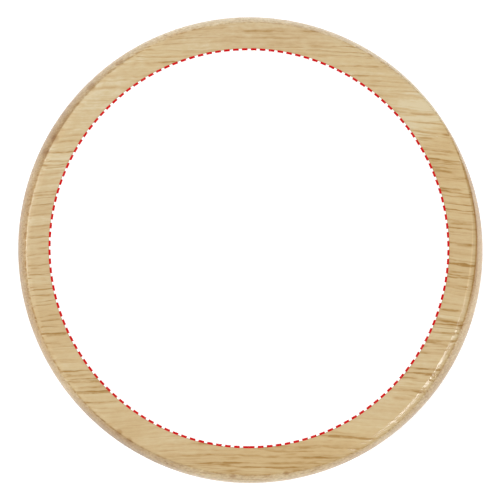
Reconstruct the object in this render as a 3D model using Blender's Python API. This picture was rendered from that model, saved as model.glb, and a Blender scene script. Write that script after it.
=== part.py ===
"""Round wooden coaster with a bottle opener let into its underside.

A turned hardwood disc carries a thin white disc in its top face. Its
underside has a round cap cavity closed by a stainless opener plate, which
three countersunk screws hold, and it stands on four rubber pads.

Frame: metres, +Z up, origin on the table under the middle of the coaster.
The catch lip of the opener is towards -Y.
"""
import math

import bmesh
import bpy
from mathutils import Vector

MM = 0.001

# ---- driving dimensions, in millimetres -----------------------------------
COASTER_D = 100.0         # outside diameter of the wood
WOOD_T = 14.0             # thickness of the wood
ARRIS_R = 1.2             # small radius where a face meets the side
ARRIS_TILT = 48.0         # slope of the side where that radius ends, degrees
FLAT_R = 47.25            # radius of the flat top and bottom faces
FOOT_H = 1.5              # height of the wood's underside above the table

INSERT_D = 85.3           # white disc in the top face
INSERT_T = 1.0
INSERT_OFF_X = -0.30      # its seat lies slightly off the turning axis
INSERT_EDGE = 0.12        # chamfer on its upper edge

FIT = 0.10                # gap between a piece and the seat that holds it

PLATE_D = 56.0            # stainless opener plate
PLATE_T = 2.0
PLATE_EDGE = 0.30         # broken edges of the plate
PLATE_SUNK = 0.10         # how far the plate sits below the wood's underside

CAVITY_D = 38.0           # cap cavity behind the plate
CAVITY_DEPTH = 7.0        # its depth above the plate's seat, for a 6 mm cap
CAVITY_FILLET = 1.0

WINDOW_R = 16.5           # round part of the cap window
WINDOW_Y = -1.0           # its centre
TONGUE_R = 22.0           # edge of the tongue that bears on the cap
TONGUE_TIP_Y = 2.0
WINDOW_FILLET = 1.3       # inner corners beside the tongue
LIP_TIP_Y = -15.3         # catch lip opposite the tongue
LIP_HALF_W = 4.4
LIP_FLANK_W = 1.3
LIP_CORNER_R = 0.6

SCREW_PCD = 47.0
SCREW_ANGLES = (90.0, 210.0, 330.0)
SCREW_HEAD_R = 2.75
SCREW_MAJOR_R = 1.50
SCREW_MINOR_R = 1.08
SCREW_PITCH = 1.25
SCREW_LEN = 10.0
SCREW_POINT = 2.6         # length of the tapered point
SCREW_SUNK = 0.06         # head face above the plate's lower face
SCREW_RIM = 0.12          # straight rim of the head
RECESS_ARM = 1.55         # half length of a cross-recess arm at the face
RECESS_W = 0.42           # half width of an arm
RECESS_DEPTH = 1.25
CSK_R = 3.0               # countersink at the plate's lower face
CLEAR_R = 1.70            # clearance hole in the plate
PILOT_R = 1.65            # screw hole in the wood
PILOT_DEPTH = 8.6

FOOT_R = 5.0
FOOT_ROUND = 1.0
FOOT_PCD = 76.0
FOOT_ANGLES = (45.0, 135.0, 225.0, 315.0)

SEG_BODY = 96
SEG_PLATE = 72
SEG_FOOT = 32
SEG_SCREW = 16

# ---- derived heights -------------------------------------------------------
Z_BASE = FOOT_H                              # underside of the wood
Z_TOP = FOOT_H + WOOD_T                      # top face
Z_INSERT_SEAT = Z_TOP - INSERT_T - FIT
Z_PLATE = Z_BASE + PLATE_SUNK                # lower face of the plate
Z_PLATE_SEAT = Z_PLATE + PLATE_T + FIT
Z_CAVITY = Z_PLATE_SEAT + CAVITY_DEPTH
Z_SCREW = Z_PLATE + SCREW_SUNK               # face of the screw heads


# ---- helpers ---------------------------------------------------------------
def clear_scene():
    for obj in list(bpy.data.objects):
        bpy.data.objects.remove(obj, do_unlink=True)


def make_material(name, colour, roughness, metallic):
    mat = bpy.data.materials.new(name)
    mat.use_nodes = True
    shader = mat.node_tree.nodes["Principled BSDF"]
    shader.inputs["Base Color"].default_value = (*colour, 1.0)
    shader.inputs["Roughness"].default_value = roughness
    shader.inputs["Metallic"].default_value = metallic
    mat.diffuse_color = (*colour, 1.0)
    return mat


def arc(cx, cy, radius, a0, a1, steps):
    """Points on an arc, angles in degrees, both ends included."""
    pts = []
    for i in range(steps + 1):
        a = math.radians(a0 + (a1 - a0) * i / steps)
        pts.append((cx + radius * math.cos(a), cy + radius * math.sin(a)))
    return pts


def turned(bm, rings, segments):
    """Closed turned solid. rings run from the middle of the top face, over
    the outside, to the middle of the lower face; each is (radius, z) or
    (radius, z, centre x), and a radius of 0 is a point."""
    loops = []
    for ring in rings:
        radius, z = ring[0], ring[1]
        cx = ring[2] if len(ring) == 3 else 0.0
        if radius == 0:
            loops.append([bm.verts.new((cx * MM, 0, z * MM))])
            continue
        loop = []
        for j in range(segments):
            a = 2 * math.pi * j / segments
            loop.append(bm.verts.new(((cx + radius * math.cos(a)) * MM,
                                      radius * math.sin(a) * MM,
                                      z * MM)))
        loops.append(loop)
    bridge(bm, loops)


def bridge(bm, loops):
    """Faces between successive loops of equal count, or a loop and a point."""
    for upper, lower in zip(loops, loops[1:]):
        n = max(len(upper), len(lower))
        for j in range(n):
            k = (j + 1) % n
            if len(upper) == 1:
                bm.faces.new((upper[0], lower[j], lower[k]))
            elif len(lower) == 1:
                bm.faces.new((upper[j], lower[0], upper[k]))
            else:
                bm.faces.new((upper[j], lower[j], lower[k], upper[k]))


def prism(bm, levels):
    """Closed solid through outlines of equal count, given from the top down
    as (points, z), with flat caps."""
    loops = []
    for pts, z in levels:
        loops.append([bm.verts.new((x * MM, y * MM, z * MM)) for x, y in pts])
    bridge(bm, loops)
    bm.faces.new(loops[0])
    bm.faces.new(list(reversed(loops[-1])))


def to_object(name, bm, material=None, sharp=32.0):
    bm.normal_update()
    mesh = bpy.data.meshes.new(name)
    bm.to_mesh(mesh)
    bm.free()
    mesh.shade_smooth()
    mesh.set_sharp_from_angle(angle=math.radians(sharp))
    if material:
        mesh.materials.append(material)
    obj = bpy.data.objects.new(name, mesh)
    bpy.context.scene.collection.objects.link(obj)
    return obj


def as_cutter(obj):
    obj.hide_render = True
    obj.display_type = 'WIRE'
    return obj


def cut(obj, cutter):
    mod = obj.modifiers.new("cut_" + cutter.name, 'BOOLEAN')
    mod.operation = 'DIFFERENCE'
    mod.solver = 'EXACT'
    mod.object = cutter
    return mod


def polar(radius, degrees):
    a = math.radians(degrees)
    return radius * math.cos(a), radius * math.sin(a)


def circle_meet(c0, r0, c1, r1):
    """The meeting point of two circles that lies on the +X side."""
    (x0, y0), (x1, y1) = c0, c1
    d = math.hypot(x1 - x0, y1 - y0)
    along = (r0 * r0 - r1 * r1 + d * d) / (2 * d)
    across = math.sqrt(r0 * r0 - along * along)
    ux, uy = (x1 - x0) / d, (y1 - y0) / d
    px, py = x0 + ux * along, y0 + uy * along
    a = (px + uy * across, py - ux * across)
    b = (px - uy * across, py + ux * across)
    return a if a[0] > b[0] else b


def angle_of(frm, to):
    return math.degrees(math.atan2(to[1] - frm[1], to[0] - frm[0]))


def rounded_corner(before, corner, after, radius, steps):
    """Points that round a corner between two straight edges."""
    p = Vector(corner)
    u = (Vector(before) - p).normalized()
    v = (Vector(after) - p).normalized()
    half = math.acos(max(-1.0, min(1.0, u.dot(v)))) / 2
    reach = radius / math.tan(half)
    start, end = p + u * reach, p + v * reach
    centre = p + (u + v).normalized() * (radius / math.sin(half))
    a0 = math.atan2(start.y - centre.y, start.x - centre.x)
    a1 = math.atan2(end.y - centre.y, end.x - centre.x)
    turn = (a1 - a0 + math.pi) % (2 * math.pi) - math.pi
    pts = []
    for i in range(steps + 1):
        a = a0 + turn * i / steps
        pts.append((centre.x + radius * math.cos(a),
                    centre.y + radius * math.sin(a)))
    return pts


def window_outline():
    """Cap window, counter-clockwise: the right half is computed, then
    mirrored. It runs from the middle of the lip round to the tongue's tip."""
    wc = (0.0, WINDOW_Y)
    tc = (0.0, TONGUE_TIP_Y + TONGUE_R)
    # catch lip: flat tip, sloping flank down to the round part
    tip = (LIP_HALF_W, LIP_TIP_Y)
    foot_x = LIP_HALF_W + LIP_FLANK_W
    foot = (foot_x, WINDOW_Y - math.sqrt(WINDOW_R ** 2 - foot_x ** 2))
    right = [(0.0, LIP_TIP_Y), (LIP_HALF_W * 0.5, LIP_TIP_Y)]
    right += rounded_corner((0.0, LIP_TIP_Y), tip, foot, LIP_CORNER_R, 3)
    # round part, up to the fillet beside the tongue
    fc = circle_meet(wc, WINDOW_R - WINDOW_FILLET,
                     tc, TONGUE_R + WINDOW_FILLET)
    a_foot = angle_of(wc, foot)
    a_fillet = angle_of(wc, fc)
    right += arc(wc[0], wc[1], WINDOW_R, a_foot, a_fillet, 16)
    # fillet, turning from the round part on to the tongue's edge
    a_tongue = angle_of(fc, tc)
    turn = (a_tongue - a_fillet) % 360.0
    right += arc(fc[0], fc[1], WINDOW_FILLET, a_fillet, a_fillet + turn, 6)[1:]
    # tongue's edge down to its tip
    a0 = angle_of(tc, fc)
    right += arc(tc[0], tc[1], TONGUE_R, a0, -90.0, 8)[1:]
    left = [(-x, y) for x, y in reversed(right[1:-1])]
    return right + left


def grown(outline, by):
    """The outline moved outwards by a small distance along its normals."""
    n = len(outline)
    out = []
    for i in range(n):
        p = Vector(outline[i])
        a = (p - Vector(outline[i - 1])).normalized()
        b = (Vector(outline[(i + 1) % n]) - p).normalized()
        na, nb = Vector((a.y, -a.x)), Vector((b.y, -b.x))
        m = (na + nb).normalized()
        q = p + m * (by / max(0.5, m.dot(na)))
        out.append((q.x, q.y))
    return out


# ---- pieces ----------------------------------------------------------------
def edge_profile():
    """The turned edge, from the rim of the top face round to the rim of the
    lower face: a small arris radius runs into a long barrel curve."""
    r_out = COASTER_D / 2
    tilt = math.radians(ARRIS_TILT)
    barrel_r = ((r_out - FLAT_R - ARRIS_R * math.sin(tilt))
                / (1.0 - math.sin(tilt)))
    drop = ARRIS_R * (1.0 - math.cos(tilt)) + barrel_r * math.cos(tilt)
    upper = arc(FLAT_R, Z_TOP - ARRIS_R, ARRIS_R,
                90.0, 90.0 - ARRIS_TILT, 4)
    upper += arc(r_out - barrel_r, Z_TOP - drop, barrel_r,
                 90.0 - ARRIS_TILT, 0.0, 6)[1:]
    middle = (Z_TOP + Z_BASE) / 2
    lower = [(r, 2 * middle - z) for r, z in reversed(upper)]
    return upper + lower


def build_wood(material):
    seat_r = INSERT_D / 2 + FIT
    rings = [(0, Z_INSERT_SEAT, INSERT_OFF_X),
             (seat_r, Z_INSERT_SEAT, INSERT_OFF_X),
             (seat_r, Z_TOP, INSERT_OFF_X)]
    rings += edge_profile()
    plate_seat_r = PLATE_D / 2 + 2 * FIT
    cavity_r = CAVITY_D / 2
    rings += [(plate_seat_r, Z_BASE), (plate_seat_r, Z_PLATE_SEAT),
              (cavity_r, Z_PLATE_SEAT)]
    rings += arc(cavity_r - CAVITY_FILLET, Z_CAVITY - CAVITY_FILLET,
                 CAVITY_FILLET, 0.0, 90.0, 3)
    rings += [(0, Z_CAVITY)]
    bm = bmesh.new()
    turned(bm, rings, SEG_BODY)
    wood = to_object("wood_body", bm, material)
    for i, deg in enumerate(SCREW_ANGLES, 1):
        bm = bmesh.new()
        turned(bm, [(0, Z_PLATE_SEAT + PILOT_DEPTH),
                    (PILOT_R, Z_PLATE_SEAT + PILOT_DEPTH - 0.9),
                    (PILOT_R, Z_PLATE_SEAT - 0.5),
                    (0, Z_PLATE_SEAT - 0.5)], SEG_SCREW)
        hole = as_cutter(to_object("pilot_cutter_%d" % i, bm))
        x, y = polar(SCREW_PCD / 2, deg)
        hole.location = (x * MM, y * MM, 0)
        cut(wood, hole)
    return wood


def build_insert(material):
    r = INSERT_D / 2
    bm = bmesh.new()
    turned(bm, [(0, INSERT_T), (r - INSERT_EDGE, INSERT_T),
                (r, INSERT_T - INSERT_EDGE), (r, 0), (0, 0)], SEG_BODY)
    insert = to_object("print_insert", bm, material)
    insert.location = (INSERT_OFF_X * MM, 0, (Z_TOP - INSERT_T) * MM)
    return insert


def build_plate(material):
    r = PLATE_D / 2
    e = PLATE_EDGE
    bm = bmesh.new()
    turned(bm, [(0, Z_PLATE + PLATE_T), (r - e, Z_PLATE + PLATE_T),
                (r, Z_PLATE + PLATE_T - e), (r, Z_PLATE + e),
                (r - e, Z_PLATE), (0, Z_PLATE)], SEG_PLATE)
    plate = to_object("opener_plate", bm, material)

    outline = window_outline()
    over = 0.2
    bm = bmesh.new()
    prism(bm, [(grown(outline, e + over), Z_PLATE + PLATE_T + over),
               (outline, Z_PLATE + PLATE_T - e),
               (outline, Z_PLATE + e),
               (grown(outline, e + over), Z_PLATE - over)])
    cut(plate, as_cutter(to_object("window_cutter", bm)))

    for i, deg in enumerate(SCREW_ANGLES, 1):
        bm = bmesh.new()
        turned(bm, [(0, Z_PLATE + PLATE_T + over),
                    (CLEAR_R, Z_PLATE + PLATE_T + over),
                    (CLEAR_R, Z_PLATE + CSK_R - CLEAR_R),
                    (CSK_R + over, Z_PLATE - over),
                    (0, Z_PLATE - over)], 24)
        hole = as_cutter(to_object("csk_cutter_%d" % i, bm))
        x, y = polar(SCREW_PCD / 2, deg)
        hole.location = (x * MM, y * MM, 0)
        cut(plate, hole)
    return plate


def build_screws(material):
    """Countersunk cross-recess wood screws, head down. The thread is a
    helical ridge on the shank that fades out along the tapered point."""
    neck_z = SCREW_RIM + SCREW_HEAD_R - SCREW_MINOR_R
    rows = 28
    loops_up = []
    bm = bmesh.new()

    def ring_at(z, radius_of):
        loop = []
        for j in range(SEG_SCREW):
            a = 2 * math.pi * j / SEG_SCREW
            r = radius_of(a)
            loop.append(bm.verts.new((r * math.cos(a) * MM,
                                      r * math.sin(a) * MM, z * MM)))
        return loop

    loops_up.append([bm.verts.new((0, 0, 0))])
    loops_up.append(ring_at(0.0, lambda a: SCREW_HEAD_R))
    loops_up.append(ring_at(SCREW_RIM, lambda a: SCREW_HEAD_R))
    loops_up.append(ring_at(neck_z, lambda a: SCREW_MINOR_R))
    z0, z1 = neck_z + 0.15, SCREW_LEN - 0.25
    for i in range(rows + 1):
        z = z0 + (z1 - z0) * i / rows
        taper = min(1.0, (SCREW_LEN - z) / SCREW_POINT)
        fade = min(1.0, (z - z0) / SCREW_PITCH)

        def radius_of(a, z=z, taper=taper, fade=fade):
            phase = (z / SCREW_PITCH - a / (2 * math.pi)) % 1.0
            ridge = max(0.0, 1.0 - abs(phase - 0.5) * 3.2)
            depth = (SCREW_MAJOR_R - SCREW_MINOR_R) * ridge * fade
            return SCREW_MINOR_R * (0.12 + 0.88 * taper) + depth * taper

        loops_up.append(ring_at(z, radius_of))
    loops_up.append([bm.verts.new((0, 0, SCREW_LEN * MM))])
    bridge(bm, list(reversed(loops_up)))
    blank = to_object("screw_1", bm, material, sharp=40.0)

    bm = bmesh.new()
    levels = []
    for z in (RECESS_DEPTH, -0.3):
        t = 1.0 - z / RECESS_DEPTH
        arm = 0.55 + (RECESS_ARM - 0.55) * t
        w = RECESS_W * (0.55 + 0.45 * min(1.0, t))
        pts = []
        for q in range(4):
            c, s = round(math.cos(q * math.pi / 2)), round(math.sin(q * math.pi / 2))
            for x, y in ((w, -w), (arm, -w), (arm, w)):
                pts.append((c * x - s * y, s * x + c * y))
        levels.append((pts, z))
    prism(bm, levels)
    recess = as_cutter(to_object("recess_cutter", bm))
    mod = cut(blank, recess)
    graph = bpy.context.evaluated_depsgraph_get()
    mesh = bpy.data.meshes.new_from_object(blank.evaluated_get(graph))
    mesh.name = "screw"
    blank.modifiers.remove(mod)
    bpy.data.objects.remove(recess, do_unlink=True)
    blank.data = mesh

    screws = [blank]
    for i in range(2, len(SCREW_ANGLES) + 1):
        copy = bpy.data.objects.new("screw_%d" % i, mesh)
        bpy.context.scene.collection.objects.link(copy)
        screws.append(copy)
    for i, (obj, deg) in enumerate(zip(screws, SCREW_ANGLES)):
        x, y = polar(SCREW_PCD / 2, deg)
        obj.location = (x * MM, y * MM, Z_SCREW * MM)
        obj.rotation_euler = (0, 0, math.radians(17.0 + 31.0 * i))
    return screws


def build_feet(material):
    rings = [(0, FOOT_H - FIT), (FOOT_R, FOOT_H - FIT)]
    rings += arc(FOOT_R - FOOT_ROUND, FOOT_ROUND, FOOT_ROUND, 0.0, -90.0, 4)
    rings += [(0, 0)]
    bm = bmesh.new()
    turned(bm, rings, SEG_FOOT)
    first = to_object("foot_1", bm, material)
    feet = [first]
    for i in range(2, len(FOOT_ANGLES) + 1):
        copy = bpy.data.objects.new("foot_%d" % i, first.data)
        bpy.context.scene.collection.objects.link(copy)
        feet.append(copy)
    for obj, deg in zip(feet, FOOT_ANGLES):
        x, y = polar(FOOT_PCD / 2, deg)
        obj.location = (x * MM, y * MM, 0)
    return feet


def main():
    clear_scene()
    wood = make_material("wood", (0.62, 0.46, 0.26), 0.42, 0.0)
    white = make_material("white_face", (0.90, 0.90, 0.89), 0.38, 0.0)
    steel = make_material("stainless", (0.58, 0.58, 0.57), 0.32, 1.0)
    bright = make_material("screw_steel", (0.66, 0.66, 0.65), 0.24, 1.0)
    rubber = make_material("rubber", (0.055, 0.053, 0.050), 0.80, 0.0)

    pieces = [build_wood(wood), build_insert(white), build_plate(steel)]
    pieces += build_screws(bright)
    pieces += build_feet(rubber)

    root = bpy.data.objects.new("coaster", None)
    root.empty_display_size = 0.02
    bpy.context.scene.collection.objects.link(root)
    for obj in bpy.context.scene.collection.objects:
        if obj is not root:
            obj.parent = root


main()
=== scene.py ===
"""Looks of the round wooden coaster with a bottle opener in its underside."""
import math

import bmesh
import bpy
from mathutils import Matrix, Vector


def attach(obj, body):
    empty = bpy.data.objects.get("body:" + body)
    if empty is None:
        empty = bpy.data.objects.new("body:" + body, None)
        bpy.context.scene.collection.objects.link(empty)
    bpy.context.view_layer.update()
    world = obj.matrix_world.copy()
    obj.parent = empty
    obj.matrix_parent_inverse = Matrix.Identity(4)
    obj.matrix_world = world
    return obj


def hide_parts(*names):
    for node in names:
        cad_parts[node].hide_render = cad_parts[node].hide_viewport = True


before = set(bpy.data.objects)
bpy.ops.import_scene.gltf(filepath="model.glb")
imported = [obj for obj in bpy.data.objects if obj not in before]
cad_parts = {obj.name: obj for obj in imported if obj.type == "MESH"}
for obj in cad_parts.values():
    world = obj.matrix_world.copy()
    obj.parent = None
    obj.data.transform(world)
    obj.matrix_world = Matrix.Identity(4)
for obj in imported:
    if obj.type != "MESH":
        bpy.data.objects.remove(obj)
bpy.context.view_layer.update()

MM = 0.001

# ---- sizes, in millimetres, as in the solids -------------------------------
R_OUT = 50.0
Z_BASE, Z_TOP = 1.5, 15.5
FLAT_R = 46.95
# eased edge from the flat outwards: radius, tilt reached in degrees, steps
EDGE_ARCS = ((1.2, 10.0, 4), (9.0, 14.5, 6), (2.0, 22.0, 4), (0.8, 50.0, 8))
INSERT_R, INSERT_T, INSERT_X = 42.65, 1.0, -0.30
SEAM = 0.02                      # visible joint between insert and wood
EASED = 0.28                     # how far the hand-eased edge varies
# places where the edge is eased less or more, and where the whole round lies
# further out: amount, azimuth, spread in degrees
CRISP = ((1.65, 34.0, 24.0), (-0.05, -10.0, 12.0), (0.22, 6.0, 9.0))
WIDER = ((0.70, -57.0, 20.0), (-0.24, 160.0, 26.0))
OVAL, OVAL_AT = 0.13, -72.0      # out of round, as wood shrinks across the grain
SANDED = ((-0.16, 28.0, 15.0), (0.10, -98.0, 18.0))   # and where it was sanded more or less
# bold grain lines of the top face: x, y, half length, half width, depth of tone
BOLD = ((42.6, -13.4, 2.8, 0.45, 0.60), (37.2, -27.0, 2.8, 0.45, 0.55), (40.4, -20.6, 2.4, 0.40, 0.40),
        (32.3, -32.2, 2.6, 0.65, 0.36), (44.8, -5.4, 3.0, 0.38, 0.36), (45.6, 0.4, 2.6, 0.60, 0.38),
        (44.9, 5.0, 3.2, 0.38, 0.40), (43.0, 12.5, 3.2, 0.38, 0.42), (41.2, 16.2, 3.0, 0.50, 0.42),
        (40.0, 19.9, 3.2, 0.42, 0.40), (37.4, 23.4, 2.4, 0.42, 0.50), (33.6, 28.4, 2.8, 0.40, 0.36),
        (15.7, 43.1, 4.0, 0.40, 0.34), (-17.4, 40.9, 6.5, 0.45, 0.38), (-30.2, 34.3, 3.2, 0.48, 0.34),
        (-38.2, 24.0, 3.8, 0.50, 0.34), (-43.0, 15.7, 3.2, 0.60, 0.32), (-44.8, 4.5, 3.2, 0.40, 0.36),
        (-41.2, -18.8, 3.0, 0.40, 0.46), (-36.5, -27.3, 4.0, 0.48, 0.50), (-34.0, -29.8, 3.6, 0.42, 0.40),
        (-6.5, -45.9, 7.2, 0.50, 0.40), (13.5, -44.7, 4.0, 0.42, 0.36), (21.2, -40.5, 6.5, 0.42, 0.42))
PLATE_R, PLATE_T, PLATE_EDGE = 28.0, 2.0, 0.30
# dark pores along the arris: x, y, radius
MARKS = ((-41.9, 23.5, 0.75), (-43.9, 20.5, 0.80), (-34.1, 34.6, 0.80), (-28.1, 39.9, 0.80),
         (-27.9, -39.4, 0.60), (-25.8, -41.2, 0.60), (44.8, -16.8, 0.50), (-3.8, -48.7, 0.55), (7.6, -48.1, 0.50))
Z_PLATE = 1.6
PLATE_SEAT_R, Z_PLATE_SEAT = 28.2, 3.7
CAVITY_R, Z_CAVITY = 19.0, 10.7
WINDOW_R, WINDOW_Y = 16.5, -1.0
TONGUE_R, TONGUE_TIP_Y = 22.0, 2.0
WINDOW_FILLET = 1.3
LIP_TIP_Y, LIP_HALF_W, LIP_FLANK_W, LIP_CORNER_R = -15.3, 4.4, 1.3, 0.6
SCREW_RAD, SCREW_ANGLES = 23.5, (90.0, 210.0, 330.0)
FOOT_RAD, FOOT_ANGLES = 38.0, (45.0, 135.0, 225.0, 315.0)


# ---- mesh helpers ----------------------------------------------------------
def arc(cx, cy, radius, a0, a1, steps):
    pts = []
    for i in range(steps + 1):
        a = math.radians(a0 + (a1 - a0) * i / steps)
        pts.append((cx + radius * math.cos(a), cy + radius * math.sin(a)))
    return pts


def bridge(bm, loops):
    for upper, lower in zip(loops, loops[1:]):
        n = max(len(upper), len(lower))
        for j in range(n):
            k = (j + 1) % n
            if len(upper) == 1:
                bm.faces.new((upper[0], lower[j], lower[k]))
            elif len(lower) == 1:
                bm.faces.new((upper[j], lower[0], upper[k]))
            else:
                bm.faces.new((upper[j], lower[j], lower[k], upper[k]))


def turned(bm, rings, segments):
    """Closed turned solid; rings are (radius, z) or (radius, z, centre x), from
    the middle of the top over the outside to the middle of the underside."""
    loops = []
    for ring in rings:
        radius, z = ring[0], ring[1]
        cx = ring[2] if len(ring) == 3 else 0.0
        if radius == 0:
            loops.append([bm.verts.new((cx * MM, 0, z * MM))])
            continue
        loops.append([bm.verts.new(((cx + radius * math.cos(2 * math.pi * j / segments)) * MM,
                                    radius * math.sin(2 * math.pi * j / segments) * MM,
                                    z * MM)) for j in range(segments)])
    bridge(bm, loops)


def prism(bm, levels):
    loops = [[bm.verts.new((x * MM, y * MM, z * MM)) for x, y in pts]
             for pts, z in levels]
    bridge(bm, loops)
    bm.faces.new(loops[0])
    bm.faces.new(list(reversed(loops[-1])))


def to_object(name, bm, material=None, sharp=30.0):
    bm.normal_update()
    mesh = bpy.data.meshes.new(name)
    bm.to_mesh(mesh)
    bm.free()
    mesh.shade_smooth()
    mesh.set_sharp_from_angle(angle=math.radians(sharp))
    if material:
        mesh.materials.append(material)
    obj = bpy.data.objects.new(name, mesh)
    bpy.context.scene.collection.objects.link(obj)
    return obj


def cut_all(obj, cutters, sharp=30.0):
    """Cuts the cutters out of the object for good and removes them."""
    for c in cutters:
        mod = obj.modifiers.new("cut", 'BOOLEAN')
        mod.operation = 'DIFFERENCE'
        mod.solver = 'EXACT'
        mod.object = c
    graph = bpy.context.evaluated_depsgraph_get()
    mesh = bpy.data.meshes.new_from_object(obj.evaluated_get(graph))
    mesh.name = obj.name
    obj.modifiers.clear()
    bm = bmesh.new()                 # the cuts leave slivers without area
    bm.from_mesh(mesh)
    bmesh.ops.triangulate(bm, faces=[f for f in bm.faces if len(f.verts) > 4])
    bmesh.ops.dissolve_degenerate(bm, dist=1e-6, edges=bm.edges)
    bm.to_mesh(mesh)
    bm.free()
    obj.data = mesh
    mesh.shade_smooth()
    mesh.set_sharp_from_angle(angle=math.radians(sharp))
    for c in cutters:
        bpy.data.objects.remove(c, do_unlink=True)
    return obj


def polar(radius, degrees):
    a = math.radians(degrees)
    return radius * math.cos(a), radius * math.sin(a)


# ---- node helpers ----------------------------------------------------------
class Tree:
    """Builds a material's node tree; every value may be a number or a socket."""

    def __init__(self, name):
        self.mat = bpy.data.materials.new(name)
        self.mat.use_nodes = True
        self.tree = self.mat.node_tree
        self.shader = self.tree.nodes["Principled BSDF"]

    def put(self, socket, value):
        if isinstance(value, bpy.types.NodeSocket):
            self.tree.links.new(value, socket)
        else:
            socket.default_value = value

    def node(self, kind, **props):
        n = self.tree.nodes.new(kind)
        for k, v in props.items():
            setattr(n, k, v)
        return n

    def object_mm(self):
        """Object coordinates in millimetres, as x, y and z."""
        tc = self.node("ShaderNodeTexCoord")
        sc = self.node("ShaderNodeVectorMath", operation='SCALE')
        self.put(sc.inputs[0], tc.outputs["Object"])
        sc.inputs["Scale"].default_value = 1000.0
        sep = self.node("ShaderNodeSeparateXYZ")
        self.put(sep.inputs[0], sc.outputs[0])
        return sep.outputs[0], sep.outputs[1], sep.outputs[2]

    def m(self, op, a, b=0.0, c=0.0, clamp=False):
        n = self.node("ShaderNodeMath", operation=op, use_clamp=clamp)
        self.put(n.inputs[0], a)
        self.put(n.inputs[1], b)
        self.put(n.inputs[2], c)
        return n.outputs[0]

    def vec(self, x, y, z):
        n = self.node("ShaderNodeCombineXYZ")
        for s, v in zip(n.inputs, (x, y, z)):
            self.put(s, v)
        return n.outputs[0]

    def noise(self, x, y, z, detail=2.0, rough=0.5, distortion=0.0):
        n = self.node("ShaderNodeTexNoise", noise_dimensions='3D')
        self.put(n.inputs["Vector"], self.vec(x, y, z))
        n.inputs["Scale"].default_value = 1.0
        n.inputs["Detail"].default_value = detail
        n.inputs["Roughness"].default_value = rough
        n.inputs["Distortion"].default_value = distortion
        return n.outputs["Fac"]

    def cells(self, x, y, z):
        """Distance to the nearest cell centre, and a random number per cell."""
        n = self.node("ShaderNodeTexVoronoi", voronoi_dimensions='3D', feature='F1')
        self.put(n.inputs["Vector"], self.vec(x, y, z))
        n.inputs["Scale"].default_value = 1.0
        sep = self.node("ShaderNodeSeparateColor")
        self.put(sep.inputs[0], n.outputs["Color"])
        return n.outputs["Distance"], sep.outputs[0]

    def step(self, v, lo, hi, a=0.0, b=1.0):
        n = self.node("ShaderNodeMapRange", interpolation_type='SMOOTHSTEP', clamp=True)
        for key, val in (("Value", v), ("From Min", lo), ("From Max", hi),
                         ("To Min", a), ("To Max", b)):
            self.put(n.inputs[key], val)
        return n.outputs[0]

    def ramp(self, fac, stops):
        n = self.node("ShaderNodeValToRGB")
        els = n.color_ramp.elements
        while len(els) < len(stops):
            els.new(0.5)
        for e, (pos, col) in zip(els, stops):
            e.position = pos
            e.color = (*col, 1.0)
        self.put(n.inputs[0], fac)
        return n.outputs[0]

    def tint(self, colour, factor, by):
        """colour multiplied by the tint, as far as factor says."""
        n = self.node("ShaderNodeMix", data_type='RGBA', blend_type='MULTIPLY')
        self.put(n.inputs[0], factor)
        self.put(n.inputs[6], colour)
        n.inputs[7].default_value = (*by, 1.0)
        return n.outputs[2]

    def bump(self, height, strength, distance, normal=None):
        n = self.node("ShaderNodeBump")
        n.inputs["Strength"].default_value = strength
        n.inputs["Distance"].default_value = distance
        self.put(n.inputs["Height"], height)
        if normal is not None:
            self.put(n.inputs["Normal"], normal)
        return n.outputs[0]

    def set(self, **inputs):
        for k, v in inputs.items():
            self.put(self.shader.inputs[k.replace("_", " ")], v)
        return self.mat


EXPOSURE = 1.21                  # light on the top face
SHEEN = 0.042                    # light that the lacquer adds to every colour


def lin(r, g, b, k=1.0, sheen=0.0):
    """8-bit display colour to linear reflectance under that light."""
    def one(c):
        c /= 255.0
        c = c / 12.92 if c <= 0.04045 else ((c + 0.055) / 1.055) ** 2.4
        return max(0.0, (c - sheen) / k)
    return one(r), one(g), one(b)


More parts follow.
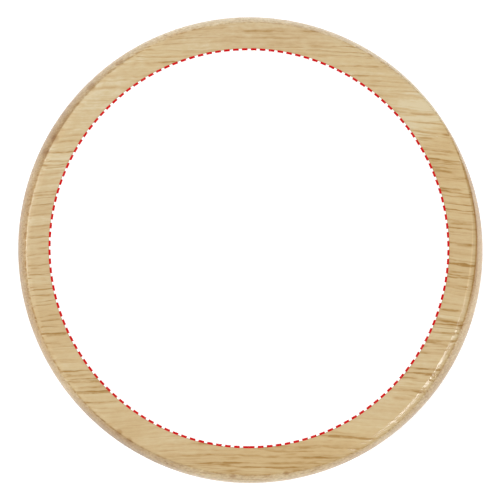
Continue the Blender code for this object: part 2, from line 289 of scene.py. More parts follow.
# ---- materials -------------------------------------------------------------
def wood_material():
    """Pale lacquered hardwood, grain along X. The grain is solid: lines on the
    faces become pores on the end grain at the left and right sides."""
    t = Tree("pale_hardwood")
    x, y, z = t.object_mm()

    # grain arches gently over the disc and wavers a little
    arch = t.m('MULTIPLY', t.m('MULTIPLY', x, x), 0.00115)
    waver = t.noise(t.m('MULTIPLY', x, 1 / 26), t.m('MULTIPLY', y, 1 / 9),
                    t.m('MULTIPLY', z, 1 / 9), 1.0)
    waver = slow = t.m('MULTIPLY', t.m('SUBTRACT', waver, 0.5), 2.2)
    wobble = t.noise(t.m('MULTIPLY', x, 1 / 3.2), t.m('MULTIPLY', y, 1 / 1.4),
                     t.m('MULTIPLY', z, 1 / 1.4), 1.0)
    waver = t.m('MULTIPLY_ADD', t.m('SUBTRACT', wobble, 0.5), 0.42, waver)
    v = t.m('ADD', t.m('ADD', y, arch), waver)
    w = t.m('ADD', z, t.m('MULTIPLY', waver, 0.7))

    tc = t.node("ShaderNodeTexCoord")
    sep = t.node("ShaderNodeSeparateXYZ")
    t.put(sep.inputs[0], tc.outputs["Normal"])
    end = t.step(t.m('ABSOLUTE', sep.outputs[0]), 0.25, 0.85)
    level = t.m('ABSOLUTE', sep.outputs[2])
    side = t.step(level, 0.97, 0.84)
    upright = t.step(level, 0.40, 0.12)

    def grain(sx, sv, seed, detail=2.0, rough=0.5):
        return t.noise(t.m('MULTIPLY_ADD', x, sx, seed),
                       t.m('MULTIPLY_ADD', v, sv, seed * 1.7),
                       t.m('MULTIPLY', w, sv), detail, rough)

    def rings(pitch, sway, half, seed, across=None):
        """Growth-ring lines at a swaying pitch, each line with its own strength."""
        drift = t.m('SUBTRACT', grain(1 / 60, 1 / 5.5, seed, 1.0), 0.5)
        across = across or t.m('MULTIPLY_ADD', w, 0.4, v)
        q = t.m('MULTIPLY_ADD', drift, sway, across)
        q = t.m('MULTIPLY_ADD', q, 1 / pitch, seed)
        n = t.node("ShaderNodeTexWhiteNoise", noise_dimensions='1D')
        t.put(n.inputs["W"], t.m('FLOOR', q))
        off = t.m('ABSOLUTE', t.m('SUBTRACT', t.m('FRACT', q), 0.5))
        return t.m('MULTIPLY', t.step(off, 0.0, half / pitch, 1.0, 0.0),
                   t.m('MULTIPLY_ADD', t.m('POWER', n.outputs["Value"], 1.2), 0.80, 0.20))

    def streaks(sx, sv, seed, lo, hi, detail=0.5):
        """Dark streaks along the grain, dots on the end grain."""
        return t.step(grain(sx, sv, seed, detail), lo, hi)

    def bold_line(cx, cy, length, width, depth):
        """One bold grain line that follows the arch of the grain."""
        off = t.m('MULTIPLY_ADD', t.m('SUBTRACT', wobble, 0.5), 0.6, t.m('ADD', y, arch))
        off = t.m('ABSOLUTE', t.m('SUBTRACT', off, cy + 0.00115 * cx * cx))
        along = t.m('ABSOLUTE', t.m('SUBTRACT', x, cx))
        return t.m('MULTIPLY', t.step(off, 0.0, width, depth, 0.0), t.step(along, 0.45 * length, length, 1.0, 0.0))

    def patch(cx, cy, rx, ry):
        """1 in the middle of an oval area of the face, fading to 0 around it."""
        dx = t.m('MULTIPLY_ADD', x, 1 / rx, -cx / rx)
        dy = t.m('MULTIPLY_ADD', y, 1 / ry, -cy / ry)
        d = t.m('MULTIPLY_ADD', dx, dx, t.m('MULTIPLY', dy, dy))
        return t.step(d, 0.0, 2.5, 1.0, 0.0)

    def total(parts):
        out = t.m('MULTIPLY', parts[0][0], parts[0][1])
        for socket, gain in parts[1:]:
            out = t.m('MULTIPLY_ADD', socket, gain, out)
        return out

    broad = grain(1 / 70, 1 / 11, 3.1, 1.5)
    bands = grain(1 / 90, 1 / 2.6, 11.3, 2.0)
    fibre = grain(1 / 16, 1 / 0.30, 23.9, 2.0, 0.6)
    vary = grain(1 / 9, 1 / 1.6, 77.7, 1.5)
    fleck = grain(1 / 1.6, 1 / 0.7, 52.1, 2.0, 0.6)
    lumps = grain(1 / 2.4, 1 / 0.9, 71.3, 2.0, 0.6)
    crowd = t.step(grain(1 / 40, 1 / 6.0, 61.8, 1.0), 0.36, 0.64)

    # plain and figured areas of the board
    plain = t.m('MAXIMUM', patch(28.0, -35.0, 8.0, 5.0), patch(-24.0, -38.5, 8.0, 4.5))
    plain = t.m('MAXIMUM', plain, patch(-35.0, 29.0, 6.0, 4.0))
    figured = patch(4.0, -46.0, 24.0, 4.5)
    upper = patch(0.0, 46.5, 20.0, 4.0)
    curly = t.m('MAXIMUM', figured, t.m('MULTIPLY', upper, 0.7))
    shade = total([(patch(46.0, 5.0, 12.0, 14.0), -0.12), (figured, -0.20),
                   (patch(18.0, -43.0, 8.0, 5.0), -0.05), (patch(-38.0, -22.0, 13.0, 9.0), -0.19),
                   (patch(-25.0, -41.0, 9.0, 6.0), -0.16), (patch(42.0, 19.0, 7.0, 7.0), -0.07), (patch(3.0, 46.0, 16.0, 4.0), -0.02),
                   (patch(-32.0, 29.0, 20.0, 12.0), 0.02), (plain, -0.02),
                   (patch(30.0, 32.0, 14.0, 8.0), 0.03), (patch(36.5, 28.6, 5.0, 4.5), 0.25), (patch(38.5, -29.0, 6.0, 6.0), -0.05),
                   (patch(41.0, -17.0, 9.0, 13.0), -0.10), (patch(-19.0, -41.5, 5.0, 4.0), 0.16),
                   (patch(-37.5, -26.0, 4.5, 4.5), 0.17), (patch(-43.0, 16.0, 5.0, 5.0), 0.08),
                   (patch(-32.5, 32.5, 5.0, 5.0), 0.06), (patch(3.0, 43.3, 8.0, 2.0), -0.14),
                   (patch(-46.0, 1.0, 9.0, 12.0), -0.11), (patch(-14.0, 44.0, 9.0, 5.0), -0.05), (patch(12.0, 46.0, 9.0, 4.0), -0.03),
                   (patch(45.0, 12.0, 5.0, 4.0), 0.06), (patch(45.0, -4.0, 4.0, 4.0), 0.02),
                   (patch(40.0, -22.0, 6.0, 6.0), 0.05), (patch(29.0, -35.0, 6.0, 5.0), -0.05)])

    year = t.m('MAXIMUM', rings(2.15, 2.6, 0.44, 41.2), t.m('MULTIPLY', rings(3.3, 3.4, 0.34, 9.6), 0.8))
    curls = t.m('MULTIPLY', streaks(1 / 7, 1 / 0.8, 37.9, 0.50, 0.70, 1.5), curly)
    fine = streaks(1 / 30, 1 / 0.34, 87.4, 0.59, 0.76)
    pores = streaks(1 / 5, 1 / 0.36, 15.3, 0.60, 0.78)
    plainly = t.m('ADD', t.m('ADD', y, arch), t.m('MULTIPLY_ADD', z, 0.4, t.m('MULTIPLY', slow, 0.6)))
    on_side = t.m('MAXIMUM', rings(2.15, 1.6, 0.75, 41.2, plainly), t.m('MULTIPLY', rings(3.3, 2.0, 0.5, 9.6, plainly), 0.8))
    on_side = t.m('MULTIPLY', t.m('MULTIPLY', on_side, t.step(vary, 0.28, 0.60, 0.5, 1.0)), upright)
    year = t.m('MULTIPLY', year, t.step(vary, 0.32, 0.62, 0.15, 1.0))
    quiet = t.m('MAXIMUM', upper, patch(-46.0, 1.0, 9.0, 12.0))
    year = t.m('MULTIPLY', year, t.m('MULTIPLY_ADD', quiet, -0.55, 1.0))
    year = t.m('MULTIPLY', year, t.step(lumps, 0.30, 0.66, 0.45, 1.15))
    year = t.m('MULTIPLY', year, t.m('MULTIPLY_ADD', side, -0.8, 1.0))
    year = t.m('MULTIPLY_ADD', year, 0.86, t.m('MULTIPLY', on_side, 0.34))
    bold = bold_line(*BOLD[0])
    for one in BOLD[1:]:
        bold = t.m('MAXIMUM', bold, bold_line(*one))
    bold = t.m('MULTIPLY', bold, t.step(lumps, 0.30, 0.60, 0.65, 1.1))
    bold = t.m('MULTIPLY', bold, t.step(sep.outputs[2], 0.80, 0.975))
    fine = t.m('MULTIPLY', fine, t.m('MULTIPLY_ADD', crowd, 0.7, 0.3))
    pores = t.m('MULTIPLY', pores, crowd)
    lines = total([(year, 1.10), (fine, 0.50), (pores, 0.34), (curls, 0.30)])
    lines = t.m('MULTIPLY', lines, t.m('MULTIPLY_ADD', plain, -0.7, 1.0))
    lines = t.m('MINIMUM', t.m('ADD', lines, bold), 0.64)

    tone = t.m('MULTIPLY_ADD', t.m('SUBTRACT', broad, 0.5), 0.35, t.m('ADD', shade, 0.85))
    tone = t.m('MULTIPLY_ADD', t.m('SUBTRACT', bands, 0.5), 0.50, tone)
    tone = t.m('MULTIPLY_ADD', t.m('SUBTRACT', fibre, 0.5), 0.45, tone)
    blotchy = t.m('MULTIPLY_ADD', t.m('MAXIMUM', upper, patch(-33.0, 33.0, 12.0, 10.0)), 0.18, 0.34)
    tone = t.m('MULTIPLY_ADD', t.m('SUBTRACT', fleck, 0.5), blotchy, tone)
    tone = t.m('SMOOTH_MAX', t.m('SUBTRACT', tone, lines), 0.11, 0.14)

    colour = t.ramp(tone, [(p, lin(*c, EXPOSURE, SHEEN)) for p, c in (
        (0.00, (149, 112, 65)), (0.14, (173, 138, 89)), (0.32, (189, 158, 111)),
        (0.52, (202, 174, 130)), (0.68, (208, 182, 139)), (0.85, (213, 191, 150)),
        (1.00, (220, 203, 167)))])

    # paler and warmer areas
    paler = t.m('MAXIMUM', t.m('MULTIPLY', patch(-46.0, 8.0, 10.0, 14.0), 0.7), upper)
    paler = t.m('MAXIMUM', paler, t.m('MULTIPLY', patch(-32.0, 32.0, 9.0, 9.0), 0.5))
    colour = t.tint(colour, paler, (0.99, 1.0, 1.05))
    colour = t.tint(colour, t.m('MAXIMUM', patch(16.0, -44.0, 20.0, 6.0), patch(44.0, 17.0, 8.0, 10.0)),
                    (1.01, 0.995, 0.94))
    # end grain takes up more finish, most of all along the arris; at +X a wider band over the arris is also
    # painted darker, as painted shade where that side faces away from the lights
    colour = t.tint(colour, end, (0.86, 0.79, 0.71))
    arris = t.m('MULTIPLY', t.step(sep.outputs[2], 0.97, 0.86), t.step(sep.outputs[2], 0.56, 0.72))
    dotted = t.m('MULTIPLY', t.step(grain(1 / 3, 1 / 0.8, 33.3, 1.0), 0.42, 0.60), 0.8)
    clean = t.m('MAXIMUM', patch(37.0, 33.0, 9.0, 9.0), t.m('MULTIPLY', patch(36.0, -34.0, 8.0, 7.0), 0.8))
    clean = t.m('MAXIMUM', clean, t.m('MULTIPLY', patch(23.0, -44.0, 8.0, 6.0), 0.8))
    clean = t.m('MAXIMUM', clean, t.m('MULTIPLY', patch(-18.0, -46.0, 7.0, 6.0), 0.7))
    clean = t.m('MAXIMUM', clean, t.m('MULTIPLY', patch(12.0, 48.0, 12.0, 6.0), 0.7))
    dotted = t.m('MULTIPLY', dotted, t.m('SUBTRACT', 1.0, clean))
    soaked_and_shaded = t.m('MULTIPLY', arris, t.m('MAXIMUM', t.m('MULTIPLY', patch(-43.0, 21.0, 10.0, 9.0), 0.55), dotted))
    # painted shade: a wider dark band over the arris at +X
    shaded_arris_band = t.m('MULTIPLY', t.step(sep.outputs[2], 0.98, 0.90), t.step(sep.outputs[2], 0.52, 0.64))
    soaked_and_shaded = t.m('MAXIMUM', soaked_and_shaded, t.m('MULTIPLY', shaded_arris_band, patch(49.0, 2.0, 12.0, 14.0)))
    colour = t.tint(colour, soaked_and_shaded, (0.74, 0.60, 0.37))
    # the turn of the edge at +X: a painted highlight line, then a painted shade line just outside it
    # painted highlight along the start of the turn
    turn = t.m('MULTIPLY', t.step(sep.outputs[2], 0.9998, 0.998), t.step(sep.outputs[2], 0.972, 0.988))
    colour = t.tint(colour, t.m('MULTIPLY', turn, patch(47.2, -1.5, 6.0, 9.0)), (1.13, 1.15, 1.17))
    # painted shade just outside the painted highlight
    turn = t.m('MULTIPLY', t.step(sep.outputs[2], 0.975, 0.94), t.step(sep.outputs[2], 0.74, 0.88))
    colour = t.tint(colour, t.m('MULTIPLY', turn, patch(46.5, -6.0, 8.0, 18.0)), (0.91, 0.87, 0.81))
    dark = patch(MARKS[0][0], MARKS[0][1], MARKS[0][2], MARKS[0][2])
    for mx, my, size in MARKS[1:]:
        dark = t.m('MAXIMUM', dark, patch(mx, my, size, size))
    dark = t.m('MULTIPLY', t.m('MULTIPLY', dark, t.step(sep.outputs[2], 0.40, 0.62)), t.step(lumps, 0.25, 0.55, 0.6, 1.0))
    colour = t.tint(colour, dark, (0.75, 0.63, 0.47))
    # painted shade on stretches of the side at the left, the lower left and +X; the whole upright side is also
    # painted a little darker
    painted_side_shade = t.m('MAXIMUM', patch(-40.0, 29.0, 12.0, 10.0), patch(-27.0, -41.0, 13.0, 8.0))
    painted_side_shade = t.m('MAXIMUM', painted_side_shade, t.m('MULTIPLY', patch(-33.0, 38.0, 10.0, 8.0), 0.6))
    painted_side_shade = t.m('MAXIMUM', painted_side_shade, t.m('MULTIPLY', patch(50.0, 8.0, 8.0, 8.0), 0.5))
    colour = t.tint(colour, upright, (0.93, 0.92, 0.91))
    colour = t.tint(colour, t.m('MULTIPLY', painted_side_shade, side), (0.78, 0.71, 0.62))
    # painted shade on the left side, darker where the side steepens, and more on the upright part of all shaded
    # stretches, which also get a thinner, duller coat
    dull_shaded_side = patch(-50.0, 2.0, 12.0, 15.0)
    colour = t.tint(colour, t.m('MULTIPLY', dull_shaded_side, t.step(level, 0.90, 0.50)), (0.87, 0.82, 0.75))
    dull_shaded_side = t.m('MULTIPLY', t.m('MAXIMUM', dull_shaded_side, painted_side_shade), upright)
    colour = t.tint(colour, dull_shaded_side, (0.77, 0.75, 0.73))
    # sanded side: short mottling, most of it just under the arris
    mottle = t.noise(t.m('MULTIPLY', x, 1 / 0.55), t.m('MULTIPLY', y, 1 / 0.42),
                     t.m('MULTIPLY', z, 1 / 1.1), 2.0)
    under = t.m('MULTIPLY', side, t.step(sep.outputs[2], 0.05, 0.40, 0.30, 1.0))
    colour = t.tint(colour, under, (1.085, 1.11, 1.14))
    coarse = total([(patch(50.0, -8.0, 10.0, 14.0), -0.5), (patch(37.0, -31.0, 9.0, 9.0), 0.4),
                    (patch(-38.0, 31.0, 11.0, 10.0), 0.4)])
    mottle = t.m('MULTIPLY', t.step(mottle, 0.34, 0.68), t.m('ADD', coarse, 1.0))
    colour = t.tint(colour, t.m('MULTIPLY', mottle, under), (0.81, 0.76, 0.70))
    colour = t.tint(colour, t.m('MULTIPLY', patch(14.0, -48.0, 12.0, 8.0), side), (1.05, 1.06, 1.08))
    # open pores of the end grain
    open_ends = t.step(grain(1 / 4, 1 / 0.34, 19.4, 1.0), 0.54, 0.72)
    open_ends = t.m('MULTIPLY', open_ends, t.step(bands, 0.38, 0.60, 0.25, 1.0))
    colour = t.tint(colour, t.m('MULTIPLY', open_ends, side), (0.78, 0.70, 0.58))

    height = t.m('MULTIPLY_ADD', fibre, 0.30, t.m('MULTIPLY', lines, -1.2))
    rub = t.noise(t.m('MULTIPLY', x, 1 / 2.2), t.m('MULTIPLY', y, 1 / 2.0),
                  t.m('MULTIPLY', z, 1 / 2.0), 1.0)
    edge = t.m('MULTIPLY', t.step(sep.outputs[2], 0.999, 0.985), t.step(sep.outputs[2], 0.6, 0.8))
    edge = t.m('MULTIPLY', edge, t.step(x, -35.0, 5.0, 0.15, 0.66))
    height = t.m('MULTIPLY_ADD', rub, edge, height)
    normal = t.bump(height, 0.7, 0.00010)
    rough = t.m('MULTIPLY_ADD', fibre, 0.16, 0.34)
    rough = t.m('MULTIPLY_ADD', lines, 0.20, rough)
    coat = total([(patch(46.5, -12.0, 6.0, 8.0), -0.25), (patch(35.5, -31.0, 4.0, 4.0), -0.15),
                  (patch(40.5, -24.5, 3.5, 3.5), 0.12)])
    coat = t.m('MULTIPLY_ADD', coat, t.step(sep.outputs[2], 0.5, 0.8), 0.50)
    coat = t.m('MULTIPLY_ADD', dull_shaded_side, -0.40, coat)
    return t.set(Base_Color=colour, Roughness=rough, Normal=normal, Coat_Normal=normal,
                 Specular_IOR_Level=0.12, Coat_Weight=coat, Coat_Roughness=0.115)


def white_material():
    """Smooth white printable face: satin, with a faint orange-peel surface."""
    t = Tree("white_face")
    x, y, z = t.object_mm()
    peel = t.noise(t.m('MULTIPLY', x, 1.4), t.m('MULTIPLY', y, 1.4),
                   t.m('MULTIPLY', z, 1.4), 3.0, 0.55)
    cloud = t.noise(t.m('MULTIPLY', x, 0.06), t.m('MULTIPLY', y, 0.06),
                    t.m('MULTIPLY', z, 0.06), 2.0)
    colour = t.ramp(t.m('MULTIPLY_ADD', peel, 0.3, t.m('MULTIPLY', cloud, 0.7)),
                    [(0.25, (0.905, 0.905, 0.900)), (0.75, (0.935, 0.935, 0.932))])
    rough = t.m('MULTIPLY_ADD', peel, 0.12, 0.30)
    return t.set(Base_Color=colour, Roughness=rough,
                 Normal=t.bump(peel, 0.25, 0.00001))


def ink_material():
    """Red print, slightly uneven in density."""
    t = Tree("red_ink")
    x, y, z = t.object_mm()
    mottle = t.noise(t.m('MULTIPLY', x, 3.2), t.m('MULTIPLY', y, 3.2),
                     t.m('MULTIPLY', z, 3.2), 3.0, 0.6)
    colour = t.ramp(mottle, [(0.3, lin(189, 0, 8, 1.2)),
                             (0.7, lin(210, 8, 18, 1.2))])
    return t.set(Base_Color=colour, Roughness=t.m('MULTIPLY_ADD', mottle, 0.15, 0.50),
                 Specular_IOR_Level=0.1)


def steel_material():
    """Brushed stainless sheet, brushed along X."""
    t = Tree("brushed_stainless")
    x, y, z = t.object_mm()
    hair = t.noise(t.m('MULTIPLY', x, 1 / 9), t.m('MULTIPLY', y, 9.0),
                   t.m('MULTIPLY', z, 9.0), 3.0, 0.6)
    drift = t.noise(t.m('MULTIPLY', x, 0.05), t.m('MULTIPLY', y, 0.09),
                    t.m('MULTIPLY', z, 0.09), 2.0)
    colour = t.ramp(t.m('MULTIPLY_ADD', hair, 0.7, t.m('MULTIPLY', drift, 0.3)),
                    [(0.25, (0.46, 0.46, 0.45)), (0.75, (0.66, 0.66, 0.65))])
    rough = t.m('MULTIPLY_ADD', hair, 0.22, 0.20)
    return t.set(Base_Color=colour, Roughness=rough, Metallic=1.0,
                 Normal=t.bump(hair, 0.35, 0.00002))


def screw_material():
    t = Tree("bright_steel")
    x, y, z = t.object_mm()
    fine = t.noise(t.m('MULTIPLY', x, 4.0), t.m('MULTIPLY', y, 4.0),
                   t.m('MULTIPLY', z, 4.0), 3.0, 0.6)
    colour = t.ramp(fine, [(0.3, (0.56, 0.56, 0.55)), (0.7, (0.72, 0.72, 0.71))])
    return t.set(Base_Color=colour, Metallic=1.0,
                 Roughness=t.m('MULTIPLY_ADD', fine, 0.16, 0.16),
                 Normal=t.bump(fine, 0.2, 0.00001))


def rubber_material():
    t = Tree("black_rubber")
    x, y, z = t.object_mm()
    grit = t.noise(t.m('MULTIPLY', x, 5.0), t.m('MULTIPLY', y, 5.0),
                   t.m('MULTIPLY', z, 5.0), 4.0, 0.65)
    colour = t.ramp(grit, [(0.3, (0.030, 0.029, 0.028)), (0.7, (0.060, 0.058, 0.055))])
    return t.set(Base_Color=colour, Roughness=t.m('MULTIPLY_ADD', grit, 0.2, 0.62),
                 Normal=t.bump(grit, 0.5, 0.00004))


# ---- pieces ----------------------------------------------------------------
def edge_profile():
    """Rings from the flat top over the eased edge and barrel side to the flat base."""
    upper, tilt = [(FLAT_R, Z_TOP)], 0.0
    for radius, to_tilt, steps in EDGE_ARCS:
        r, z = upper[-1]
        for i in range(1, steps + 1):
            a0, a = math.radians(tilt), math.radians(tilt + (to_tilt - tilt) * i / steps)
            upper.append((r + radius * (math.sin(a) - math.sin(a0)),
                          z - radius * (math.cos(a0) - math.cos(a))))
        tilt = to_tilt
    r, z = upper[-1]
    barrel = (R_OUT - r) / (1.0 - math.sin(math.radians(tilt)))
    upper += arc(R_OUT - barrel, z - barrel * math.cos(math.radians(tilt)), barrel,
                 90.0 - tilt, 0.0, 18)[1:]
    mid = (Z_TOP + Z_BASE) / 2
    return upper + [(r, 2 * mid - z) for r, z in reversed(upper)]


def bells(places, at):
    """Sum of bell-shaped amounts around the rim."""
    return sum(c * math.exp(-(((at - a + 180.0) % 360.0 - 180.0) / over) ** 2) for c, a, over in places)


def make_wood(mat):
    seat_r = INSERT_R + SEAM
    z_seat = Z_TOP - INSERT_T - 0.1
    ease = 0.02
    rings = [(0, z_seat, INSERT_X), (seat_r, z_seat, INSERT_X),
             (seat_r, Z_TOP - ease, INSERT_X), (seat_r + ease, Z_TOP, INSERT_X)]
    rings += edge_profile()
    rings += [(PLATE_SEAT_R + 0.25, Z_BASE), (PLATE_SEAT_R, Z_BASE + 0.25),
              (PLATE_SEAT_R, Z_PLATE_SEAT), (CAVITY_R, Z_PLATE_SEAT)]
    rings += arc(CAVITY_R - 1.0, Z_CAVITY - 1.0, 1.0, 0.0, 90.0, 6)
    rings += [(0, Z_CAVITY)]
    bm = bmesh.new()
    turned(bm, rings, 288)
    # the edge is eased by hand: wider round towards two opposite sides, and
    # nearly crisp along some of it
    round_end, tilt = FLAT_R, 0.0
    for radius, to_tilt, steps in EDGE_ARCS:
        round_end += radius * (math.sin(math.radians(to_tilt)) - math.sin(math.radians(tilt)))
        tilt = to_tilt
    for vert in bm.verts:
        r = math.hypot(vert.co.x, vert.co.y) / MM
        if r > FLAT_R - 0.01:
            at = math.degrees(math.atan2(vert.co.y, vert.co.x))
            less = EASED * math.cos(math.radians(2.0 * (at - 57.0)))
            less += bells(CRISP, at)
            out = bells(WIDER, at) * min(1.0, (R_OUT - r) / (R_OUT - round_end))
            inward = (R_OUT - r) / (R_OUT - FLAT_R)
            oval = OVAL * math.cos(math.radians(2.0 * (at - OVAL_AT)))
            oval += bells(SANDED, at)
            f = (r + less * inward + out + oval * (1.0 - inward)) / r
            vert.co.x *= f
            vert.co.y *= f
    wood = to_object("wood_body_turned", bm, mat)
    holes = []
    for deg in SCREW_ANGLES:
        bm = bmesh.new()
        turned(bm, [(0, Z_PLATE_SEAT + 8.6), (1.65, Z_PLATE_SEAT + 7.7),
                    (1.65, Z_PLATE_SEAT - 0.5), (0, Z_PLATE_SEAT - 0.5)], 24)
        h = to_object("pilot", bm)
        px, py = polar(SCREW_RAD, deg)
        h.location = (px * MM, py * MM, 0)
        holes.append(h)
    return cut_all(wood, holes)


def make_insert(mat):
    bm = bmesh.new()
    edge = arc(INSERT_R - 0.03, Z_TOP - 0.03, 0.03, 90.0, 0.0, 3)
    rings = [(0, Z_TOP)] + edge + [(INSERT_R, Z_TOP - INSERT_T), (0, Z_TOP - INSERT_T)]
    turned(bm, [(r, z, INSERT_X) for r, z in rings], 288)
    return to_object("print_insert_disc", bm, mat)


def make_print_ring(mat):
    """Dashed ring printed near the rim of the white face: even dashes that
    start and meet in one longer dash at the -Y side."""
    r_in, r_out = INSERT_R - 0.37, INSERT_R + 0.12
    pitch, length, first = 2.5779, 1.66, 93.47
    spans = [(first + i * pitch - length / 2, first + i * pitch + length / 2)
             for i in range(138)]
    spans.append((88.40, 91.70))
    z0, z1 = Z_TOP - 0.006, Z_TOP + 0.010
    bm = bmesh.new()
    for a0, a1 in spans:
        steps = 6 if a1 - a0 < 2.5 else 12
        rows = []
        for i in range(steps + 1):
            a = -(a0 + (a1 - a0) * i / steps)
            row = []
            for r, z in ((r_in, z0), (r_in, z1), (r_out, z1), (r_out, z0)):
                px, py = polar(r, a)
                row.append(bm.verts.new(((INSERT_X + px) * MM, py * MM, z * MM)))
            rows.append(row)
        for p, q in zip(rows, rows[1:]):
            for s in range(4):
                e = (s + 1) % 4
                bm.faces.new((p[s], p[e], q[e], q[s]))
        bm.faces.new(list(reversed(rows[0])))
        bm.faces.new(rows[-1])
    bmesh.ops.recalc_face_normals(bm, faces=bm.faces)
    return to_object("print_ring", bm, mat)


def circle_meet(c0, r0, c1, r1):
    (x0, y0), (x1, y1) = c0, c1
    d = math.hypot(x1 - x0, y1 - y0)
    along = (r0 * r0 - r1 * r1 + d * d) / (2 * d)
    across = math.sqrt(r0 * r0 - along * along)
    ux, uy = (x1 - x0) / d, (y1 - y0) / d
    px, py = x0 + ux * along, y0 + uy * along
    a, b = (px + uy * across, py - ux * across), (px - uy * across, py + ux * across)
    return a if a[0] > b[0] else b


def angle_of(frm, to):
    return math.degrees(math.atan2(to[1] - frm[1], to[0] - frm[0]))


def rounded_corner(before, corner, after, radius, steps):
    p = Vector(corner)
    u = (Vector(before) - p).normalized()
    v = (Vector(after) - p).normalized()
    half = math.acos(max(-1.0, min(1.0, u.dot(v)))) / 2
    start, end = p + u * (radius / math.tan(half)), p + v * (radius / math.tan(half))
    centre = p + (u + v).normalized() * (radius / math.sin(half))
    a0 = math.atan2(start.y - centre.y, start.x - centre.x)
    a1 = math.atan2(end.y - centre.y, end.x - centre.x)
    turn = (a1 - a0 + math.pi) % (2 * math.pi) - math.pi
    return [(centre.x + radius * math.cos(a0 + turn * i / steps),
             centre.y + radius * math.sin(a0 + turn * i / steps))
            for i in range(steps + 1)]


def window_outline():
    wc, tc = (0.0, WINDOW_Y), (0.0, TONGUE_TIP_Y + TONGUE_R)
    tip = (LIP_HALF_W, LIP_TIP_Y)
    fx = LIP_HALF_W + LIP_FLANK_W
    foot = (fx, WINDOW_Y - math.sqrt(WINDOW_R ** 2 - fx ** 2))
    right = [(0.0, LIP_TIP_Y), (LIP_HALF_W * 0.5, LIP_TIP_Y)]
    right += rounded_corner((0.0, LIP_TIP_Y), tip, foot, LIP_CORNER_R, 6)
    fc = circle_meet(wc, WINDOW_R - WINDOW_FILLET, tc, TONGUE_R + WINDOW_FILLET)
    a_foot, a_fillet = angle_of(wc, foot), angle_of(wc, fc)
    right += arc(wc[0], wc[1], WINDOW_R, a_foot, a_fillet, 40)
    turn = (angle_of(fc, tc) - a_fillet) % 360.0
    right += arc(fc[0], fc[1], WINDOW_FILLET, a_fillet, a_fillet + turn, 12)[1:]
    right += arc(tc[0], tc[1], TONGUE_R, angle_of(tc, fc), -90.0, 20)[1:]
    return right + [(-px, py) for px, py in reversed(right[1:-1])]


def grown(outline, by):
    n, out = len(outline), []
    for i in range(n):
        p = Vector(outline[i])
        a = (p - Vector(outline[i - 1])).normalized()
        b = (Vector(outline[(i + 1) % n]) - p).normalized()
        na, nb = Vector((a.y, -a.x)), Vector((b.y, -b.x))
        mid = (na + nb).normalized()
        q = p + mid * (by / max(0.5, mid.dot(na)))
        out.append((q.x, q.y))
    return out


def make_plate(mat):
    e = PLATE_EDGE
    top = Z_PLATE + PLATE_T
    rings = [(0, top)]
    rings += arc(PLATE_R - e, top - e, e, 90.0, 0.0, 4)
    rings += arc(PLATE_R - e, Z_PLATE + e, e, 0.0, -90.0, 4)
    rings += [(0, Z_PLATE)]
    bm = bmesh.new()
    turned(bm, rings, 192)
    plate = to_object("opener_plate_brushed", bm, mat)
    outline = window_outline()
    over = 0.15
    levels = [(grown(outline, e + over), top + over)]
    for i in range(4):
        a = math.radians(90.0 * i / 4)
        levels.append((grown(outline, e * (1 - math.sin(a))), top - e * (1 - math.cos(a))))
    levels.append((outline, top - e))
    levels += [(pts, 2 * Z_PLATE + PLATE_T - z) for pts, z in reversed(levels)]
    bm = bmesh.new()
    prism(bm, levels)
    cutters = [to_object("window", bm)]
    for deg in SCREW_ANGLES:
        bm = bmesh.new()
        turned(bm, [(0, top + 0.2), (1.7, top + 0.2), (1.7, Z_PLATE + 1.3),
                    (3.0, Z_PLATE), (3.2, Z_PLATE - 0.2), (0, Z_PLATE - 0.2)], 48)
        c = to_object("csk", bm)
        px, py = polar(SCREW_RAD, deg)
        c.location = (px * MM, py * MM, 0)
        cutters.append(c)
    return cut_all(plate, cutters, sharp=35.0)


def make_screws(mat):
    head_r, major, minor, pitch, length = 2.75, 1.50, 1.08, 1.25, 10.0
    rim, point, seg, rows = 0.12, 2.6, 40, 96
    neck = rim + head_r - minor
    bm = bmesh.new()

    def ring(z, radius_of):
        return [bm.verts.new((radius_of(2 * math.pi * j / seg) * math.cos(2 * math.pi * j / seg) * MM,
                              radius_of(2 * math.pi * j / seg) * math.sin(2 * math.pi * j / seg) * MM,
                              z * MM)) for j in range(seg)]

    loops = [[bm.verts.new((0, 0, 0))], ring(0.0, lambda a: head_r - 0.08),
             ring(0.03, lambda a: head_r - 0.02), ring(0.06, lambda a: head_r),
             ring(rim, lambda a: head_r), ring(neck, lambda a: minor)]
    z0, z1 = neck + 0.15, length - 0.25
    for i in range(rows + 1):
        z = z0 + (z1 - z0) * i / rows
        taper = min(1.0, (length - z) / point)
        fade = min(1.0, (z - z0) / pitch)

        def radius_of(a, z=z, taper=taper, fade=fade):
            phase = (z / pitch - a / (2 * math.pi)) % 1.0
            ridge = max(0.0, 1.0 - abs(phase - 0.5) * 3.2)
            return minor * (0.12 + 0.88 * taper) + (major - minor) * ridge * fade * taper

        loops.append(ring(z, radius_of))
    loops.append([bm.verts.new((0, 0, length * MM))])
    bridge(bm, list(reversed(loops)))
    blank = to_object("screw_1_steel", bm, mat, 40.0)
    bm = bmesh.new()
    levels = []
    depth = 1.25
    for z in (depth, -0.3):
        s = 1.0 - z / depth
        arm, wid = 0.55 + 1.0 * s, 0.42 * (0.55 + 0.45 * min(1.0, s))
        pts = []
        for q in range(4):
            c, sn = round(math.cos(q * math.pi / 2)), round(math.sin(q * math.pi / 2))
            for px, py in ((wid, -wid), (arm, -wid), (arm, wid)):
                pts.append((c * px - sn * py, sn * px + c * py))
        levels.append((pts, z))
    prism(bm, levels)
    cut_all(blank, [to_object("recess", bm)], 40.0)
    screws = [blank]
    for i in (2, 3):
        c = bpy.data.objects.new("screw_%d_steel" % i, blank.data)
        bpy.context.scene.collection.objects.link(c)
        screws.append(c)
    for i, (s, deg) in enumerate(zip(screws, SCREW_ANGLES)):
        px, py = polar(SCREW_RAD, deg)
        s.location = (px * MM, py * MM, 1.66 * MM)
        s.rotation_euler = (0, 0, math.radians(17.0 + 31.0 * i))
    return screws


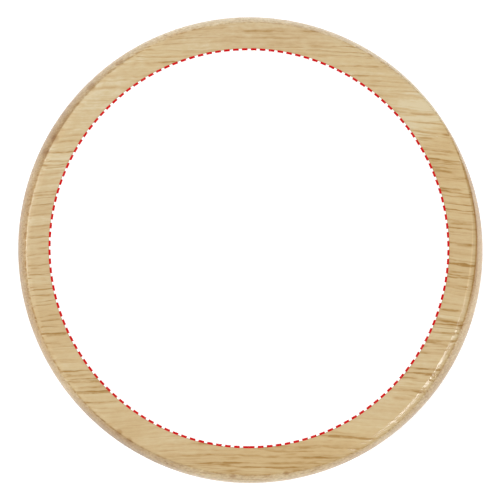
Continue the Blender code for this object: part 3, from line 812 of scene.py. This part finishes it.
def make_feet(mat):
    r, top, rd = 5.0, 1.4, 1.0
    rings = [(0, top)] + arc(r - 0.15, top - 0.15, 0.15, 90.0, 0.0, 3)
    rings += arc(r - rd, rd, rd, 0.0, -90.0, 8) + [(r - 2.2, 0.0), (0, 0)]
    bm = bmesh.new()
    turned(bm, rings, 72)
    first = to_object("foot_1_rubber", bm, mat)
    feet = [first]
    for i in (2, 3, 4):
        c = bpy.data.objects.new("foot_%d_rubber" % i, first.data)
        bpy.context.scene.collection.objects.link(c)
        feet.append(c)
    for f, deg in zip(feet, FOOT_ANGLES):
        px, py = polar(FOOT_RAD, deg)
        f.location = (px * MM, py * MM, 0)
    return feet


def adopt(obj, slot, *nodes):
    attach(obj, "root")
    if nodes:
        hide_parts(*nodes)
    return obj


adopt(make_wood(wood_material()), "wood", "wood_body")
adopt(make_insert(white_material()), "white_face", "print_insert")
adopt(make_print_ring(ink_material()), "print_ink")
adopt(make_plate(steel_material()), "stainless", "opener_plate")
for i, s in enumerate(make_screws(screw_material()), 1):
    adopt(s, "screw_steel", "screw_%d" % i)
for i, f in enumerate(make_feet(rubber_material()), 1):
    adopt(f, "rubber", "foot_%d" % i)


# ---- stage: floor, light, camera -------------------------------------------
def make_floor():
    bm = bmesh.new()
    bmesh.ops.create_circle(bm, cap_ends=True, radius=4.0, segments=96)
    t = Tree("pale_floor_painted_glow")
    x, y, z = t.object_mm()
    # the floor glows everywhere, and much more beyond 90 mm towards +X: painted light, a pool of light that also
    # lights the coaster's side
    t.set(Base_Color=(0.86, 0.86, 0.86, 1.0), Roughness=0.9,
          Emission_Color=(1.0, 1.0, 1.0, 1.0),
          Emission_Strength=t.step(x, 45.0, 90.0, 0.40, 1.70))
    floor = to_object("floor", bm, t.mat)
    floor.location = (0, 0, -0.00002)


def make_backdrop():
    """White wall around the floor, seen by the camera only, so it lights nothing."""
    bm = bmesh.new()
    rows = [[bm.verts.new((3.9 * math.cos(2 * math.pi * j / 96), 3.9 * math.sin(2 * math.pi * j / 96), z))
             for j in range(96)] for z in (3.0, -0.01)]
    bridge(bm, rows)
    t = Tree("backdrop_white")
    t.set(Base_Color=(0.0, 0.0, 0.0, 1.0), Emission_Color=(1.0, 1.0, 1.0, 1.0),
          Emission_Strength=1.0, Specular_IOR_Level=0.0)
    wall = to_object("backdrop", bm, t.mat)
    wall.visible_diffuse = wall.visible_glossy = wall.visible_transmission = False
    wall.visible_shadow = False


def soft_box(name, tilt, azimuth, distance, width, height, power, colour=(1, 1, 1)):
    """Area light aimed at the coaster; tilt from the vertical, azimuth from +X."""
    light = bpy.data.lights.new(name, 'AREA')
    light.shape = 'RECTANGLE'
    light.size, light.size_y = width, height
    light.energy = power
    light.color = colour
    obj = bpy.data.objects.new(name, light)
    t, a = math.radians(tilt), math.radians(azimuth)
    way = Vector((math.sin(t) * math.cos(a), math.sin(t) * math.sin(a), math.cos(t)))
    obj.location = Vector((0, 0, 0.01)) + way * distance
    obj.rotation_mode = 'QUATERNION'
    obj.rotation_quaternion = way.to_track_quat('Z', 'Y')
    obj.visible_camera = False
    bpy.context.scene.collection.objects.link(obj)
    return obj


make_floor()
make_backdrop()
scene = bpy.context.scene
scene.view_settings.view_transform = 'Standard'
scene.view_settings.look = 'None'
world = bpy.data.worlds.new("studio")
world.use_nodes = True
wt = world.node_tree
back = wt.nodes["Background"]
back.inputs[0].default_value = (1.0, 1.0, 1.0, 1.0)
way = wt.nodes.new("ShaderNodeTexCoord")
sep = wt.nodes.new("ShaderNodeSeparateXYZ")
rise = wt.nodes.new("ShaderNodeMapRange")
rise.interpolation_type = 'SMOOTHSTEP'
for key, val in (("From Min", 0.0), ("From Max", 0.95), ("To Min", 0.35), ("To Max", 1.05)):
    rise.inputs[key].default_value = val
wt.links.new(way.outputs["Generated"], sep.inputs[0])
wt.links.new(sep.outputs[2], rise.inputs["Value"])
across = wt.nodes.new("ShaderNodeMapRange")
across.interpolation_type = 'SMOOTHSTEP'
for key, val in (("From Min", -0.9), ("From Max", 0.9), ("To Min", 1.30), ("To Max", 0.45)):
    across.inputs[key].default_value = val
wt.links.new(sep.outputs[0], across.inputs["Value"])
both = wt.nodes.new("ShaderNodeMath")
both.operation = 'MULTIPLY'
wt.links.new(rise.outputs[0], both.inputs[0])
wt.links.new(across.outputs[0], both.inputs[1])
wt.links.new(both.outputs[0], back.inputs[1])
scene.world = world

soft_box("key", 23.0, -24.0, 0.9, 0.23, 0.15, 2.5)
soft_box("left", 45.0, 167.0, 0.8, 0.30, 0.10, 1.9)
soft_box("back", 58.0, 75.0, 0.8, 0.50, 0.30, 0.5)

camera_data = bpy.data.cameras.new("camera")
camera_data.type = 'PERSP'
camera_data.sensor_width = 36.0
camera_data.lens = 204.3
camera_data.clip_start, camera_data.clip_end = 0.01, 20.0
camera = bpy.data.objects.new("camera", camera_data)
back = Vector((0.0, -math.sin(math.radians(3.8)), math.cos(math.radians(3.8))))
right = Vector((0, 1, 0)).cross(back).normalized()
up = back.cross(right)
aim = Vector((0, 0, 8.5 * MM)) + right * (-0.083 * MM) + up * (-0.110 * MM)
camera.matrix_world = Matrix((right, up, back)).transposed().to_4x4()
camera.location = aim + back * 0.612
scene.collection.objects.link(camera)
scene.camera = camera
